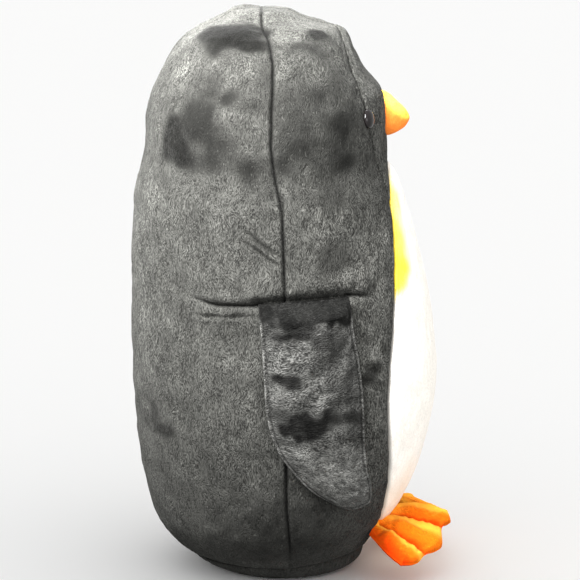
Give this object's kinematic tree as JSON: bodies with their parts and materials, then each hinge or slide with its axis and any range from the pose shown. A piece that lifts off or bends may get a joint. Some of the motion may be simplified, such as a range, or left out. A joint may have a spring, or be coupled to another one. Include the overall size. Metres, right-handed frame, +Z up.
{
  "type": "plush penguin",
  "caption": "Upright plush penguin with a charcoal coat, pale belly, short orange beak, hanging side flippers and flat orange webbed feet.",
  "frame": {"origin": "centre of the flat base, on the surface the toy stands on", "axes": "+Z up through the crown, -Y the way the face looks, -X the penguin's right side"},
  "size_m": [0.1796, 0.17, 0.3],
  "materials": {
    "plush_charcoal": "short brushed polyester plush, charcoal grey with darker brushed patches",
    "plush_white": "short polyester plush, warm white with a pale yellow chest",
    "foot_orange": "short polyester plush, saturated orange",
    "beak_orange": "short polyester plush, yellow above and orange below",
    "thread_orange": "sewing thread",
    "eye_black": "polished black",
    "washer_nylon": "natural nylon",
    "fibre_filling": "loose polyester fibre",
    "label_white": "woven satin ribbon, blank"
  },
  "bodies": {
    "torso": {"back_panel_right": "plush_charcoal", "back_panel_left": "plush_charcoal", "flank_panel_right": "plush_charcoal", "flank_panel_left": "plush_charcoal", "face_gusset": "plush_charcoal", "belly_panel": "plush_white", "base_panel": "plush_charcoal", "body_filling": "fibre_filling", "beak_shell": "beak_orange", "beak_filling": "fibre_filling", "eye_right": "eye_black", "eye_left": "eye_black", "eye_washer_right": "washer_nylon", "eye_washer_left": "washer_nylon", "care_label": "label_white"},
    "right_wing": {"wing_outer_right": "plush_charcoal", "wing_inner_right": "plush_charcoal", "wing_filling_right": "fibre_filling"},
    "left_wing": {"wing_outer_left": "plush_charcoal", "wing_inner_left": "plush_charcoal", "wing_filling_left": "fibre_filling"},
    "right_foot": {"foot_top_right": "foot_orange", "foot_sole_right": "foot_orange", "foot_filling_right": "fibre_filling", "toe_thread_right": "thread_orange"},
    "left_foot": {"foot_top_left": "foot_orange", "foot_sole_left": "foot_orange", "foot_filling_left": "fibre_filling", "toe_thread_left": "thread_orange"}
  },
  "joints": [
    {"name": "right_wing_lift", "type": "hinge", "parent": "torso", "child": "right_wing", "pos_m": [-0.07971, -0.00842, 0.16224], "axis": [-0.1705, 0.9765, -0.1319], "range_deg": [0, 140]},
    {"name": "left_wing_lift", "type": "hinge", "parent": "torso", "child": "left_wing", "pos_m": [0.07971, -0.00842, 0.16224], "axis": [-0.1705, -0.9765, 0.1319], "range_deg": [0, 140]},
    {"name": "right_foot_flex", "type": "hinge", "parent": "torso", "child": "right_foot", "pos_m": [-0.02708, -0.05654, 0.02944], "axis": [-0.8217, 0.4474, -0.353], "range_deg": [0, 50], "stiffness_Nm_per_rad": 0.004},
    {"name": "left_foot_flex", "type": "hinge", "parent": "torso", "child": "left_foot", "pos_m": [0.02708, -0.05654, 0.02544], "axis": [-0.8217, -0.4474, 0.353], "range_deg": [0, 50], "stiffness_Nm_per_rad": 0.004}
  ]
}
